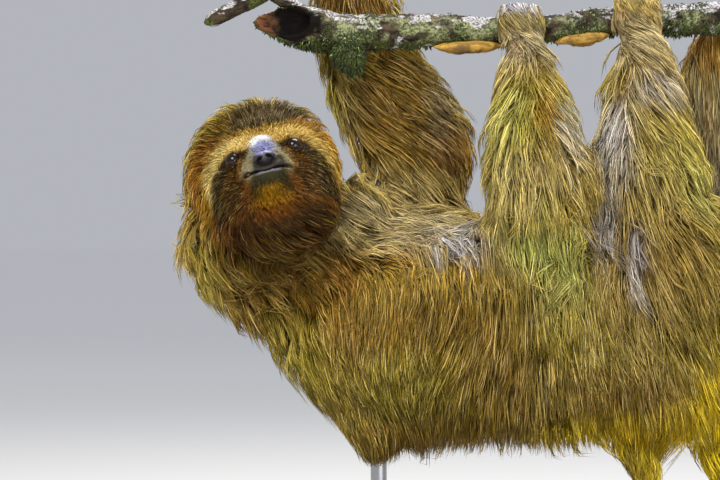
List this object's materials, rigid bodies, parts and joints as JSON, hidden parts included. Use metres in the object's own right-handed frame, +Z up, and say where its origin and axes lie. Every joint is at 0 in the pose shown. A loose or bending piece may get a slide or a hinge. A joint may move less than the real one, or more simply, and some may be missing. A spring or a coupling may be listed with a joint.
{
  "type": "three-toed sloth",
  "caption": "Life-size sloth with a long shaggy coat, hanging back-down from a mossy branch by hooked claws, held over a flat base by short rods.",
  "frame": {"origin": "on the underside of the base, under the middle of the whole model", "axes": "+Z up; the animal's head is towards -X and its rump towards +X; its right side, and its face, are towards -Y"},
  "size_m": [0.48, 0.2376, 0.5029],
  "materials": {
    "coat": "long coarse hair, brown and gold with a green cast, short and pale on the face",
    "nose": "bare damp skin",
    "eye": "wet, dark brown",
    "claw": "smooth horn",
    "bark": "rough bark with moss in front and pale lichen on top",
    "deadwood": "dry peeled wood",
    "moss": "tufted moss",
    "base": "satin dark stain",
    "rod": "satin"
  },
  "bodies": {
    "root": {"claw_foot_left_1": "claw", "claw_foot_left_2": "claw", "claw_foot_left_3": "claw", "claw_foot_right_1": "claw", "claw_foot_right_2": "claw", "claw_foot_right_3": "claw", "claw_hand_left_1": "claw", "claw_hand_left_2": "claw", "claw_hand_left_3": "claw", "claw_hand_right_1": "claw", "claw_hand_right_2": "claw", "claw_hand_right_3": "claw", "eye_left": "eye", "eye_right": "eye", "foot_left": "coat", "foot_right": "coat", "forearm_left": "coat", "forearm_right": "coat", "hand_left": "coat", "hand_right": "coat", "head": "coat", "neck": "coat", "nose": "nose", "perch_branch": "bark", "perch_deadwood_1": "deadwood", "perch_deadwood_2": "deadwood", "perch_moss": "moss", "perch_shoot": "bark", "shin_left": "coat", "shin_right": "coat", "stand_base": "base", "stand_rod_1": "rod", "stand_rod_2": "rod", "tail": "coat", "thigh_left": "coat", "thigh_right": "coat", "trunk": "coat", "upper_arm_left": "coat", "upper_arm_right": "coat"}
  },
  "joints": []
}
